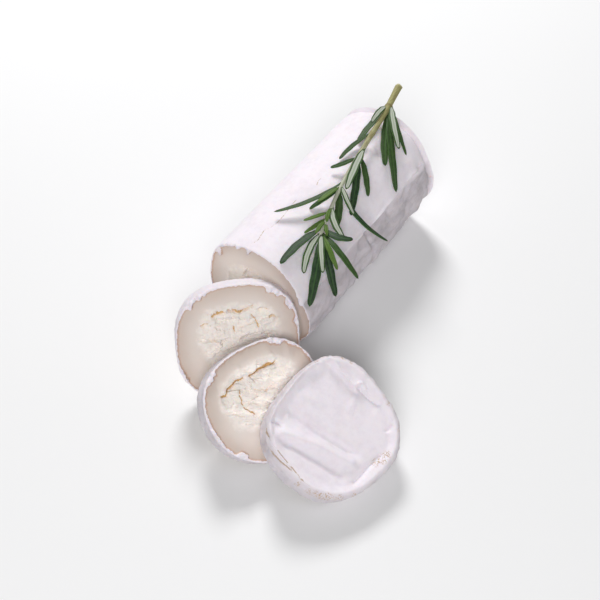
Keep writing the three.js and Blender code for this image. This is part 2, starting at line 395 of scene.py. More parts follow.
class Shader:
    """Builds one material's nodes round its Principled shader."""

    def __init__(self, name: str) -> None:
        """Starts a material with that name."""
        self.material = bpy.data.materials.new(name)
        self.material.use_nodes = True
        self.tree = self.material.node_tree
        self.principled = self.tree.nodes["Principled BSDF"]

    def node(self, kind: str, settings: dict, inputs: dict, output: str | int = 0) -> Socket:
        """Adds a node.

        Args:
            kind: The node's type.
            settings: Its properties; "stops" gives a colour ramp's (place, colour) pairs.
            inputs: A value or a Socket for each input, by name or number.
            output: Which output is wanted.

        Returns:
            That output.
        """
        made = self.tree.nodes.new(kind)
        for name, value in settings.items():
            if name == "stops":
                self._set_stops(made.color_ramp, value)
            else:
                setattr(made, name, value)
        for name, value in inputs.items():
            self._feed(made.inputs[name], value)
        return Socket(self, made.outputs[output])

    @staticmethod
    def _set_stops(ramp: bpy.types.ColorRamp, stops: Sequence[tuple[float, Triple]]) -> None:
        """Replaces a colour ramp's stops."""
        while len(ramp.elements) < len(stops):
            ramp.elements.new(1.0)
        for element, (place, colour) in zip(ramp.elements, stops):
            element.position = place
            element.color = (*colour, 1.0)

    def _feed(self, target: bpy.types.NodeSocket, value: object) -> None:
        """Links a Socket to an input, or sets the input's value."""
        if isinstance(value, Socket):
            self.tree.links.new(value.socket, target)
        elif isinstance(value, tuple) and target.type == "RGBA":
            target.default_value = (*value, 1.0)
        else:
            target.default_value = value

    def mark(self, name: str) -> Socket:
        """The number written on the mesh under that name."""
        settings = {"attribute_name": name, "attribute_type": "GEOMETRY"}
        return self.node("ShaderNodeAttribute", settings, {}, "Fac")

    def place(self, stretch: Triple = (1.0, 1.0, 1.0)) -> Socket:
        """The place on the object, in millimetres, stretched along its axes."""
        spot = self.node("ShaderNodeTexCoord", {}, {}, "Object")
        scale = tuple(1.0 / (MM * s) for s in stretch)
        return self.node("ShaderNodeMapping", {}, {"Vector": spot, "Scale": scale})

    def noise(self, place: Socket, size: float, detail: float = 3.0, roughness: float = 0.55) -> Socket:
        """Soft noise from 0 to 1, with hills that many millimetres apart."""
        inputs = {"Vector": place, "Scale": 1.0 / size, "Detail": detail, "Roughness": roughness}
        return self.node("ShaderNodeTexNoise", {}, inputs)

    def blend(self, factor: Socket | float, first: object, second: object) -> Socket:
        """Mixes two colours: the first where factor is 0 and the second where it is 1."""
        return self.node("ShaderNodeMix", {"data_type": "RGBA"}, {0: factor, 6: first, 7: second}, 2)

    def mix(self, factor: Socket, first: object, second: object) -> Socket:
        """Mixes two numbers."""
        return self.node("ShaderNodeMix", {"data_type": "FLOAT"}, {0: factor, 2: first, 3: second}, 0)

    def bump(self, height: Socket, depth: float, strength: float = 1.0) -> Socket:
        """The normal of a relief that is depth millimetres high."""
        inputs = {"Height": height, "Distance": depth * MM, "Strength": strength}
        return self.node("ShaderNodeBump", {}, inputs)

    def finish(self, **inputs: object) -> bpy.types.Material:
        """Feeds the Principled shader's inputs, named with _ for each space."""
        for name, value in inputs.items():
            self._feed(self.principled.inputs[name.replace("_", " ")], value)
        return self.material


@dataclass(frozen=True)
class CheeseFinish:
    """Ripened goat cheese: bloomy rind, waxy paste under it and a chalky core.

    Colours are linear. The marks that the sculptor leaves say where each one is.
    """

    rind_bright: Triple = (0.92, 0.86, 0.915)
    rind_dim: Triple = (0.85, 0.785, 0.845)
    # painted shade: the rind's colour where the sides are shaded
    rind_painted_shade: Triple = (0.47, 0.43, 0.452)
    rind_thin: Triple = (0.52, 0.36, 0.22)
    crack: Triple = (0.46, 0.32, 0.19)
    under_rind: Triple = (0.63, 0.45, 0.36)
    paste_outer: Triple = (0.66, 0.55, 0.485)
    paste_inner: Triple = (0.82, 0.735, 0.68)
    core_light: Triple = (0.98, 0.91, 0.86)
    core_dim: Triple = (0.97, 0.87, 0.80)
    # painted shade: warm shade in the crevices and along the ledges of the cut faces
    crevice_shade: Triple = (0.72, 0.48, 0.22)
    cloud_size: float = 9.0
    fuzz_size: float = 0.45
    crumb_size: float = 0.9
    speck_size: float = 0.7

    def material(self) -> bpy.types.Material:
        """Builds the material.

        Returns:
            One material for every piece of cheese.
        """
        s = Shader("goat_cheese")
        place = s.place()
        cloud = s.noise(place, self.cloud_size, 4.0)
        fuzz = s.noise(place, self.fuzz_size, 4.0, 0.7)
        crumb = s.noise(place, self.crumb_size, 5.0, 0.65)
        ragged = s.noise(place, 1.1, 3.0)

        rind_edge = s.mark("rind") + (ragged - 0.5) * 0.7
        is_rind = rind_edge.between(-0.06, 0.10)
        rim = s.mark("rim")
        crevice_shade = s.mark("crevice_shade")
        core_edge = s.mark("core") + (s.noise(place, 2.4, 4.0) - 0.5) * 3.2
        is_core = core_edge.between(-1.6, 1.4)

        paste = s.blend((rim + (cloud - 0.5) * 3.0).between(0.2, 9.0), self.paste_outer, self.paste_inner)
        paste = s.blend((rind_edge + 0.55).between(-0.5, 0.4), paste, self.under_rind)
        core = s.blend(crumb.between(0.30, 0.62), self.core_dim, self.core_light)
        cut = s.blend(is_core, paste, core)
        # Painted shade: the crevices and ledges are darkened to a warm brown.
        cut = s.blend((crevice_shade * (0.6 + crumb)).between(0.35, 1.05), cut, self.crevice_shade)

        tone = (cloud * 0.6 + s.noise(place, 2.1, 3.0) * 0.4 + (fuzz - 0.5) * 0.25).between(0.28, 0.60)
        rind = s.blend(tone, self.rind_dim, self.rind_bright)
        # Painted shade: the rind is darkened where the side is crumpled or shaded.
        rind = s.blend(s.mark("painted_shade") * (0.55 + tone * 0.3), rind, self.rind_painted_shade)
        specks = s.noise(place, self.speck_size, 5.0, 0.7).between(0.48, 0.60)
        rind = s.blend(s.mark("worn") * specks, rind, self.rind_thin)
        line = abs(s.mark("crack") + (s.noise(place, 0.8, 2.0) - 0.5) * 0.35)
        on_line = (1.0 - line.between(0.12, 0.38)) * s.noise(place, 2.2, 2.0).between(0.30, 0.48)
        rind = s.blend(on_line * 0.8, rind, self.crack)

        grain = s.mix(is_core, s.noise(place, 0.5, 2.0) * 0.15, crumb)
        relief = s.mix(is_rind, grain, fuzz * 0.75)
        rough = s.mix(is_rind, s.mix(is_core, 0.38 + crumb * 0.12, 0.72), 0.88)
        return s.finish(
            Base_Color=s.blend(is_rind, cut, rind),
            Roughness=rough,
            Normal=s.bump(relief, 0.35, 0.55),
            Subsurface_Weight=0.26,
            Subsurface_Radius=(1.0, 0.66, 0.45),
            Subsurface_Scale=1.3 * MM,
            Specular_IOR_Level=0.35,
        )


@dataclass(frozen=True)
class LeafFinish:
    """Rosemary leaf: leathery green above, felted white below between rolled margins."""

    deep: Triple = (0.010, 0.030, 0.011)
    mid: Triple = (0.026, 0.062, 0.020)
    young: Triple = (0.120, 0.210, 0.035)
    margin: Triple = (0.060, 0.150, 0.035)
    felt: Triple = (0.50, 0.53, 0.46)
    rib: Triple = (0.30, 0.35, 0.25)

    def material(self) -> bpy.types.Material:
        """Builds the material."""
        s = Shader("rosemary_leaf")
        place = s.place()
        mottle = s.noise(place, 1.3, 4.0)
        fine = s.noise(place, 0.22, 3.0, 0.7)
        green = s.blend(mottle.between(0.35, 0.68), self.deep, self.mid)
        green = s.blend(s.mark("margin"), green, self.margin)
        green = s.blend(s.mark("young") * (0.75 + mottle * 0.5), green, self.young)
        felt = s.blend(s.mark("rib") * 0.8, self.felt, self.rib)
        felt = s.blend(fine.between(0.35, 0.7) * 0.35, felt, self.rib)
        is_felt = (s.mark("felt") + (fine - 0.5) * 0.3).between(0.42, 0.58)
        return s.finish(
            Base_Color=s.blend(is_felt, green, felt),
            Roughness=s.mix(is_felt, 0.40 + mottle * 0.16, 0.9),
            Normal=s.bump(fine, 0.09, 0.7),
            Specular_IOR_Level=0.28,
            Subsurface_Weight=0.08,
            Subsurface_Radius=(0.5, 1.0, 0.3),
            Subsurface_Scale=0.4 * MM,
        )


@dataclass(frozen=True)
class StemFinish:
    """Rosemary stem: olive bark where it was cut, pale green felt towards the tip."""

    bark: Triple = (0.38, 0.37, 0.15)
    bark_dim: Triple = (0.26, 0.22, 0.09)
    felt: Triple = (0.52, 0.54, 0.42)
    node_ring: Triple = (0.17, 0.12, 0.04)
    pith: Triple = (0.62, 0.58, 0.36)

    def material(self) -> bpy.types.Material:
        """Builds the material."""
        s = Shader("rosemary_stem")
        streak = s.noise(s.place((3.0, 0.5, 0.5)), 1.0, 4.0)
        fine = s.noise(s.place(), 0.3, 3.0, 0.7)
        bark = s.blend(streak.between(0.3, 0.7), self.bark_dim, self.bark)
        skin = s.blend((s.mark("tipward") + (streak - 0.5) * 0.5).between(0.25, 0.8), bark, self.felt)
        skin = s.blend(s.mark("node_ring"), skin, self.node_ring)
        skin = s.blend(s.mark("cut_end"), skin, self.pith)
        return s.finish(
            Base_Color=skin,
            Roughness=0.55 + fine * 0.25,
            Normal=s.bump(streak + fine * 0.5, 0.12, 0.7),
        )


# ---------------------------------------------------------------- pieces of cheese


@dataclass(frozen=True)
class Wave:
    """One shallow wave round an outline: its lobes, its depth and where a lobe points."""

    lobes: int
    depth: float
    turn: float


@dataclass
class Skin:
    """The surface of a round before it is sculpted, one value for each vertex.

    Attributes:
        angle: Round the axis, in radians.
        reach: Distance from the axis.
        height: Along the axis, 0 at the face.
        out: How much the surface faces away from the axis, 0 to 1.
        up: How much it faces along the axis: 1 on the face and -1 on the back.
        rim: How far in from the rim it is, on the face or on the back.
    """

    angle: np.ndarray
    reach: np.ndarray
    height: np.ndarray
    out: np.ndarray
    up: np.ndarray
    rim: np.ndarray

    CIRCLE = 24.0

    def flat(self) -> np.ndarray:
        """Places seen along the axis, two columns."""
        return np.stack([self.reach * np.cos(self.angle), self.reach * np.sin(self.angle)], axis=1)

    def solid(self) -> np.ndarray:
        """Places in space, three columns."""
        return np.column_stack([self.flat(), self.height])

    def ring(self) -> np.ndarray:
        """Places on one circle, for noise that changes only round the rim."""
        circle = [self.CIRCLE * np.cos(self.angle), self.CIRCLE * np.sin(self.angle), self.angle * 0.0]
        return np.column_stack(circle)

    def unrolled(self, radius: float) -> np.ndarray:
        """Places on the side laid flat: millimetres round it, and back from the face."""
        return np.stack([self.angle * radius, -self.height], axis=1)


@dataclass(frozen=True)
class CutFace:
    """A face cut through the cheese: a torn edge of rind, smooth paste and a crumbled core.

    Attributes:
        seed: Which crumbled surface it is.
        core: The core's middle and half its width and height.
        streak: Which way the blade dragged the crumb, in degrees.
        ledges: Breaks and crevices, drawn on the face; the material darkens them with painted shade.
        rind: How thick the rind's cut edge is.
        tears: Where the edge of rind is torn wider: angle, how far round, how much wider.
        crumble: How rough the core is.
    """

    seed: int
    core: tuple[float, float, float, float]
    streak: float = 0.0
    ledges: tuple[Stroke, ...] = ()
    rind: float = 0.7
    tears: tuple[Triple, ...] = ()
    crumble: float = 1.0

    LEDGE_GAIN = 1.5  # how much stronger the ledges are sculpted and coloured than they are drawn

    def relief(self, skin: Skin) -> tuple[np.ndarray, Marks]:
        """Sculpts the face.

        Args:
            skin: The surface.

        Returns:
            How far each place is raised, and the marks for the material.
        """
        grain = Grain(self.seed)
        flat = skin.flat()
        solid = np.column_stack([flat, np.full(len(flat), 3.7)])
        ring = skin.ring()

        width = self.rind * (1.0 + 0.6 * grain.fractal(ring, 2.6)) + 0.25 * grain.smooth(solid, 0.9)
        degrees = np.degrees(skin.angle)
        torn_off = np.zeros(len(flat))
        for angle, span, extra in self.tears:
            off = (degrees - angle + 180.0) % 360.0 - 180.0
            ragged = 0.75 + 0.7 * grain.smooth(ring, 1.7)
            here = smoothstep(np.abs(off), span / 2 + 1.0, span / 2 - 3.0)
            width = width + extra * ragged * here
            torn_off = np.maximum(torn_off, here)
        rind = width - skin.rim
        on_rind = smoothstep(rind, -0.12, 0.14)

        middle_x, middle_y, half_width, half_height = self.core
        spread = np.hypot((flat[:, 0] - middle_x) / half_width, (flat[:, 1] - middle_y) / half_height)
        core = (1.0 - spread + 0.10 * grain.fractal(solid, 6.0)) * min(half_width, half_height)
        in_core = smoothstep(core, -0.6, 2.0)

        turn = math.radians(self.streak)
        across = flat @ np.array([math.cos(turn), math.sin(turn)])
        over = flat @ np.array([-math.sin(turn), math.cos(turn)])
        warp = 0.9 * grain.fractal(solid, 2.6, 3)
        dragged = np.column_stack([across / 2.6 + warp, over + 0.8 * warp])
        chunk, chunk_edge = grain.chips(dragged, 3.1)
        chip, chip_edge = grain.chips(dragged * 1.03 + 7.0, 1.25)
        rough = 0.42 * chunk + 0.16 * chip + 0.14 * grain.fractal(solid, 1.1, 3)
        lift = in_core * (self.crumble * rough - 0.1)
        # Painted shade: the chunk and chip edges of the core, and the ledges below, are marked to be
        # darkened as if in shade.
        crevice_shade = in_core * 0.38 * np.exp(-chunk_edge / 0.18) * smoothstep(-chunk, -0.2, 0.9)
        crevice_shade += in_core * 0.12 * np.exp(-chip_edge / 0.15)

        shake = [grain.fractal(solid + apart, 1.7, 3) for apart in (0.0, 50.0)]
        torn = flat + 0.7 * np.column_stack(shake)
        crumbly = smoothstep(core, -3.0, 0.5)
        for ledge in self.ledges:
            raised, deep = ledge.lift(torn)
            lift += self.LEDGE_GAIN * raised * crumbly
            crevice_shade += self.LEDGE_GAIN * deep * min(1.0, abs(ledge.height))

        lift += (1.0 - in_core) * (0.10 * grain.smooth(solid, 9.0) + 0.02 * grain.smooth(solid, 1.5))
        lift -= 0.25 * np.exp(-skin.rim / 0.9)
        frayed = 0.34 + 0.30 * grain.fractal(solid + 20.0, 1.3, 3)
        frayed += torn_off * (0.65 + 1.1 * grain.smooth(solid + 30.0, 1.9))
        lift += on_rind * (frayed + 0.25 * np.exp(-np.abs(rind) / 0.3))
        return lift, {"rind": rind, "core": core, "crevice_shade": np.clip(crevice_shade, 0.0, 1.0)}


@dataclass(frozen=True)
class RindFace:
    """A face that is the rind of the log's own end: a lip round a soft, pleated hollow.

    Attributes:
        seed: Which surface it is.
        dish_width: How far in from the rim the hollow's flat middle starts.
        dish_depth: How deep the hollow is.
        folds: Pleats and folds, drawn on the face.
        puckers: How high the small folds are that run in from the rim.
    """

    seed: int
    dish_width: float = 7.0
    dish_depth: float = 1.0
    folds: tuple[Stroke, ...] = ()
    puckers: float = 0.25

    def relief(self, skin: Skin) -> tuple[np.ndarray, Marks]:
        """Sculpts the face."""
        grain = Grain(self.seed)
        flat = skin.flat()
        solid = skin.solid()
        ring = skin.ring()
        hollow = smoothstep(skin.rim + 0.9 * grain.fractal(ring, 9.0), 1.6, self.dish_width)
        lift = -self.dish_depth * hollow
        lift += self.puckers * grain.fractal(ring, 4.5) * bump(skin.rim, 3.0, 2.6)
        lift += 0.10 * grain.fractal(solid, 9.0, 2) + 0.03 * grain.fractal(solid, 1.4)
        for fold in self.folds:
            lift += fold.lift(flat)[0]
        return lift, {"rind": np.full(len(flat), FAR_AWAY)}


@dataclass(frozen=True)
class RindSide:
    """The side of a round: wrinkled rind, darkened with painted shade where it is shaded.

    Attributes:
        seed: Which surface it is.
        swell: How high its soft, long hollows are.
        wrinkle: How high its fine wrinkles are.
        frill: How far its edge by the face is pulled in and out by the knife.
        crumpled_below: How far up the side, measured round it, the crumpled skin reaches; there the skin
            is fully darkened with painted shade.
        folds: Folds, drawn on the side laid flat.
        dents: Thumb marks: how far round and along, radius and depth.
        shade_all_round: How much painted shade darkens the skin all round, 0 to 1; where it is crumpled
            the painted shade is full.
    """

    seed: int
    swell: float = 0.3
    wrinkle: float = 0.12
    frill: float = 0.0
    crumpled_below: float = -999.0
    folds: tuple[Stroke, ...] = ()
    dents: tuple[tuple[float, float, float, float], ...] = ()
    shade_all_round: float = 0.0

    CRUMPLE_HEIGHT = 2.0
    CRUMPLE_SIZE = 9.0

    def relief(self, skin: Skin, radius: float) -> tuple[np.ndarray, Marks]:
        """Sculpts the side."""
        grain = Grain(self.seed)
        solid = skin.solid()
        flat = skin.unrolled(radius)
        long_ways = solid * np.array([1.0, 1.0, 0.4])
        lift = self.swell * grain.fractal(long_ways, 8.0, 3)
        crumpled = smoothstep(flat[:, 0], self.crumpled_below + 1.5, self.crumpled_below - 1.5)
        crumpled *= smoothstep(flat[:, 0], -radius * 0.9, -radius * 0.6)
        lift += self.wrinkle * (grain.creases(solid * np.array([1.0, 1.0, 1.4]), 3.2) - 0.6)
        loose = solid * np.array([1.0, 1.0, 0.6]) + 40.0
        lift += self.CRUMPLE_HEIGHT * crumpled * (grain.creases(loose, self.CRUMPLE_SIZE, 3) - 0.75)
        lift += 0.03 * grain.fractal(solid, 0.9, 2)
        lift += self.frill * grain.fractal(solid + 60.0, 2.4, 3) * np.exp(skin.height / 1.3)
        for fold in self.folds:
            lift += fold.lift(flat)[0]
        for around, back, size, depth in self.dents:
            lift -= depth * np.exp(-((flat[:, 0] - around) ** 2 + (flat[:, 1] - back) ** 2) / size**2)
        # Painted shade: darkens the side's rind colour, fully where it is crumpled and partly all round.
        painted_shade = np.maximum(crumpled, self.shade_all_round) * (0.85 + 0.5 * grain.fractal(long_ways, 5.0, 3))
        painted_shade *= smoothstep(skin.out, 0.1, 0.9)
        return lift, {"rind": np.full(len(flat), FAR_AWAY), "painted_shade": np.clip(painted_shade, 0.0, 1.0)}


@dataclass
class Round:
    """A piece of cheese: a round whose outline is pressed out of true by shallow waves.

    Attributes:
        node: The CAD node that it stands for.
        slot: The record's material slot; not used.
        radius: The round's radius.
        depth: How far it goes back from its face.
        waves: The outline's waves.
        face: The middle of its face, before it settles; not used.
        heading: Where its face looks, from +X towards +Y.
        tilt: How far its face is tipped up.
        front: The face.
        back: The back.
        side: The side.
        rounding: The radius of the turn from side to face, and from side to back.
        cracks: Brown hairline cracks in the rind, drawn as seen along the axis.
        side_cracks: The same, drawn on the side laid flat.
        worn: Worn, brownish spots: angle, how far in from the rim, and radius.
        columns: How many columns of faces go round it.
        row_step: How long a face is along its side.
    """

    node: str
    slot: str
    radius: float
    depth: float
    waves: tuple[Wave, ...]
    face: Triple
    heading: float
    tilt: float
    front: CutFace | RindFace
    back: CutFace | RindFace
    side: RindSide
    rounding: Pair = (0.35, 0.35)
    cracks: tuple[Stroke, ...] = ()
    side_cracks: tuple[Stroke, ...] = ()
    worn: tuple[Triple, ...] = ()
    columns: int = 400
    row_step: float = 0.4

    RIM_ZONE = 3.0
    RIM_RING = 0.25
    INNER_RING = 0.36
    EYE = 0.8  # the radius of the fan of faces at the middle
    FAINT = 0.09  # how much narrower a crack in the side shows than one in the face
    WORN_BACK = 3.5  # how far back from the face worn spots go
    CRACK_BACK = 3.0  # how far back from the face its cracks go
    CRACK_DEPTH = 0.14
    CRACK_WIDTH = 0.35

    def outline(self, angle: np.ndarray) -> np.ndarray:
        """The outline's radius at each angle."""
        waves = (w.depth * np.cos(w.lobes * (angle - math.radians(w.turn))) for w in self.waves)
        return self.radius + sum(waves)

    def axes(self) -> Matrix:
        """The turn from the piece's own frame to the row's."""
        heading, tilt = math.radians(self.heading), math.radians(self.tilt)
        flat = Vector((math.cos(heading), math.sin(heading), 0.0)) * math.cos(tilt)
        normal = flat + Vector((0.0, 0.0, math.sin(tilt)))
        level = Vector((0.0, 0.0, 1.0)).cross(normal).normalized()
        rise = normal.cross(level)
        return Matrix((level, rise, normal)).transposed()

    def place(self) -> Vector:
        """The middle of the face in the row's frame, found from the CAD node's box."""
        angle = np.linspace(0.0, 2.0 * math.pi, 60, endpoint=False)
        reach = self.outline(angle)
        turn = np.array(self.axes())
        tops = []
        for height, inset in ((0.0, self.rounding[0]), (-self.depth, self.rounding[1])):
            for lower, part in ((0.0, inset), (inset, 0.0)):
                level = height - math.copysign(lower, height + self.depth / 2.0)
                ring = reach * (self.radius - part) / self.radius
                ring_places = np.stack([ring * np.cos(angle), ring * np.sin(angle), angle * 0 + level])
                tops.append((turn @ ring_places).max(axis=1))
        high = np.array(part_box(self.node)[1]) / MM
        return Vector(high - np.max(tops, axis=0))

    def blank(self) -> bpy.types.Object:
        """Makes the round blank, in rings and columns fine enough to sculpt.

        Returns:
            The blank, at its place, with its face towards its own +Z.
        """
        turn = self.axes()
        middle = self.place() - turn @ Vector((0.0, 0.0, self.depth / 2.0))
        deselect_all()
        bpy.ops.mesh.primitive_cylinder_add(
            vertices=self.columns,
            radius=self.radius * MM,
            depth=self.depth * MM,
            end_fill_type="NGON",
            location=middle * MM,
            rotation=turn.to_euler(),
        )
        thing = bpy.context.object
        thing.name = f"{self.node}_skin"
        half = self.depth / 2.0
        rows = max(2, round(self.depth / self.row_step))
        subdivide_edges(thing, rows - 1, lambda a, b: np.abs(a[:, 2] - b[:, 2]) > half)
        for sign in (1.0, -1.0):
            self._ring_the_end(thing, sign, half)
        return thing

    def _ring_the_end(self, thing: bpy.types.Object, sign: float, half: float) -> None:
        """Insets one end of the blank twice, fans its middle and cuts the rings fine."""
        for face in thing.data.polygons:
            face.select = len(face.vertices) == self.columns and face.center.z * sign > 0.0
        inner = self.radius - self.RIM_ZONE
        with edit_mode(thing, faces=True):
            bpy.ops.mesh.inset(thickness=self.RIM_ZONE * MM)
            bpy.ops.mesh.inset(thickness=(inner - self.EYE) * MM)
            bpy.ops.mesh.poke()

        def on_end(a: np.ndarray, b: np.ndarray) -> np.ndarray:
            """The edges that run towards the middle of this end."""
            turned = np.abs(np.arctan2(a[:, 1] * b[:, 0] - a[:, 0] * b[:, 1], (a * b)[:, :2].sum(axis=1)))
            return (turned < 1e-3) & (a[:, 2] * sign > half - 1e-3) & (b[:, 2] * sign > half - 1e-3)

        def zone(a: np.ndarray, b: np.ndarray, low: float, high: float) -> np.ndarray:
            """The edges that run from one radius to the other."""
            reach = np.sort(np.stack([np.hypot(a[:, 0], a[:, 1]), np.hypot(b[:, 0], b[:, 1])]), axis=0)
            return on_end(a, b) & (np.abs(reach[0] - low) < 0.1) & (np.abs(reach[1] - high) < 0.1)

        rim_cuts = round(self.RIM_ZONE / self.RIM_RING) - 1
        inner_cuts = round((inner - self.EYE) / self.INNER_RING) - 1
        subdivide_edges(thing, rim_cuts, lambda a, b: zone(a, b, inner, self.radius))
        subdivide_edges(thing, inner_cuts, lambda a, b: zone(a, b, self.EYE, inner))

    def skin(self, thing: bpy.types.Object) -> Skin:
        """Reads the blank's surface and rounds its two corners.

        Args:
            thing: The blank.

        Returns:
            The surface, with the directions that it faces.
        """
        places = corners_of(thing)
        angle = np.arctan2(places[:, 1], places[:, 0])
        reach = np.hypot(places[:, 0], places[:, 1])
        height = places[:, 2] - self.depth / 2.0
        rim = np.maximum(self.radius - reach, 0.0)
        out = (rim < 1e-3).astype(float)
        up = np.where(out > 0.0, 0.0, np.where(height > -self.depth / 2.0, 1.0, -1.0))
        for sign, turn in ((1.0, self.rounding[0]), (-1.0, self.rounding[1])):
            end = 0.0 if sign > 0.0 else -self.depth
            down = np.abs(height - end)
            path = np.where(down > 1e-6, turn + down, turn - rim)
            here = (path > 0.0) & (path < 2.0 * turn) & ((down < 1e-6) | (rim < 1e-3))
            bend = np.clip(path / (2.0 * turn), 0.0, 1.0) * math.pi / 2.0
            reach = np.where(here, self.radius - turn + turn * np.sin(bend), reach)
            height = np.where(here, end - sign * turn * (1.0 - np.cos(bend)), height)
            out = np.where(here, np.sin(bend), out)
            up = np.where(here, sign * np.cos(bend), up)
        return Skin(angle, reach, height, out, up, rim)

    def sculpt(self, thing: bpy.types.Object) -> Marks:
        """Moves the blank's vertices to the piece's real surface.

        Args:
            thing: The blank.

        Returns:
            The marks for its material.
        """
        skin = self.skin(thing)
        lift, marks = self.side.relief(skin, self.radius)
        ends = {1.0: self.front.relief(skin), -1.0: self.back.relief(skin)}
        side_share = smoothstep(skin.out, 0.35, 0.95)
        total = lift * side_share
        blended: Marks = {name: np.zeros(len(lift)) for name in ("core", "crevice_shade")}
        blended["core"] -= FAR_AWAY
        blended.update(marks)
        for sign, (raised, end_marks) in ends.items():
            here = skin.up * sign > 0.0
            total = np.where(here, total + raised * (1.0 - side_share), total)
            for name, values in end_marks.items():
                blended[name] = np.where(here & (skin.out < 0.99), values, blended[name])
        by_face = (skin.up >= 0.0) & (skin.height > -self.CRACK_BACK)
        on_face = np.where(by_face, nearest_line(self.cracks, skin.flat()), FAR_AWAY)
        on_side = nearest_line(self.side_cracks, skin.unrolled(self.radius))
        on_side = np.where(skin.out > 0.5, np.abs(on_side) + self.FAINT, FAR_AWAY)
        crack = np.where(np.abs(on_face) < np.abs(on_side), on_face, on_side)
        total -= self.CRACK_DEPTH * bump(crack, 0.0, self.CRACK_WIDTH)
        blended["crack"] = crack
        blended["rim"] = skin.rim
        blended["worn"] = self._worn(skin)

        grow = self.outline(skin.angle) / self.radius
        reach = (skin.reach + total * skin.out) * grow
        height = skin.height + total * skin.up
        places = np.stack(
            [reach * np.cos(skin.angle), reach * np.sin(skin.angle), height + self.depth / 2.0], axis=1
        )
        move_corners(thing, places)
        return blended

    def _worn(self, skin: Skin) -> np.ndarray:
        """How worn the rind is at each place, 0 to 1."""
        total = np.zeros(len(skin.angle))
        by_face = (skin.up > -0.1) & (skin.height > -self.WORN_BACK)
        for angle, inset, size in self.worn:
            turn = math.radians(angle)
            spot = (self.radius - inset) * np.array([math.cos(turn), math.sin(turn)])
            gap = np.linalg.norm(skin.flat() - spot, axis=1)
            total = np.maximum(total, np.where(by_face, smoothstep(gap, size, size / 3.0), 0.0))
        return total

    def build(self, material: bpy.types.Material) -> bpy.types.Object:
        """Makes, sculpts and dresses the piece, and sets it in its CAD node's place."""
        thing = self.blank()
        marks = self.sculpt(thing)
        mark(thing, marks)
        apply_place(thing)
        places = corners_of(thing)
        places[:, 2] = np.maximum(places[:, 2], 0.0)
        move_corners(thing, places)
        finish_mesh(thing, 65.0)
        dress(thing, material)
        seat(thing, self.slot, self.node)
        log.info("%s: %d faces", thing.name, len(thing.data.polygons))
        return thing


def cheese_log() -> Round:
    """What is left of the log, with its cut face towards the slices."""
    radius = 25.7
    crease = (
        (12, 4), (12, 17), (13, 25), (12.5, 38), (12, 46.5),
        (12, 53), (12.5, 64), (13, 72), (13.5, 82), (11.5, 90),
    )
    crack_by_cut = (
        (44.5, 1), (43.5, 6), (44.5, 11), (43, 14), (42.5, 19), (43, 25.5), (43.5, 31), (43, 35.5),
    )
    crack_far = ((40.5, 40.5), (42, 45.5), (42.5, 51))
    return Round(
        node="cheese_log",
        slot="bloomy_rind",
        radius=radius,
        depth=98.0,
        waves=(Wave(2, 0.7, -80.0), Wave(3, 0.6, -15.0), Wave(5, 0.4, -10.0)),
        face=(0.0, 0.0, 25.6),
        heading=180.0,
        tilt=0.0,
        front=CutFace(
            seed=11,
            core=(-1.0, 1.5, 15.0, 12.5),
            crumble=1.9,
            tears=((140.0, 11.0, 3.2), (98.0, 6.0, 2.8), (120.0, 30.0, 0.4), (30.0, 16.0, 0.6)),
        ),
        back=RindFace(
            seed=12,
            dish_width=11.0,
            dish_depth=1.2,
            folds=(
                Stroke(((-20, 8), (-10, 4), (2, -3), (12, -8)), width=2.2, height=-0.9, taper=7.0),
                Stroke(((-17, 15), (-6, 9), (6, 3), (18, 0)), width=2.0, height=-0.7, taper=7.0),
                Stroke(((-8, -20), (-2, -12), (2, -6)), width=1.6, height=-0.7, taper=6.0),
            ),
            puckers=0.9,
        ),
        side=RindSide(
            seed=13,
            swell=0.28,
            wrinkle=0.10,
            frill=0.25,
            # the crumpled skin below the crease is darkened with painted shade
            crumpled_below=10.5,
            folds=(
                Stroke(crease, width=0.8, height=0.9, step=-3.0, taper=5.0),
                Stroke(
                    ((13, 42), (11.5, 45), (9.5, 47), (5, 46), (0, 48)),
                    width=1.0, height=-1.2, step=1.2,
                ),
                Stroke(((13, 88), (12.5, 95)), width=0.9, height=-0.8, taper=2.0),
                Stroke(((2, 10), (4, 30), (1, 50), (3, 70), (0, 88)), width=1.6, height=-0.4, fade=4.0),
                Stroke(((7, 52), (6, 66), (8, 84)), width=1.0, height=0.35),
                Stroke(((7, 12), (6, 24), (8, 36)), width=1.2, height=0.35),
            ),
            dents=((31.0, 77.5, 2.6, 1.6), (18.0, 62.5, 4.0, 0.5), (40.0, 64.5, 3.5, 0.5)),
        ),
        rounding=(0.4, 6.0),
        side_cracks=(Stroke(crack_by_cut, width=0.3), Stroke(crack_far, width=0.3)),
        columns=360,
        row_step=0.55,
    )


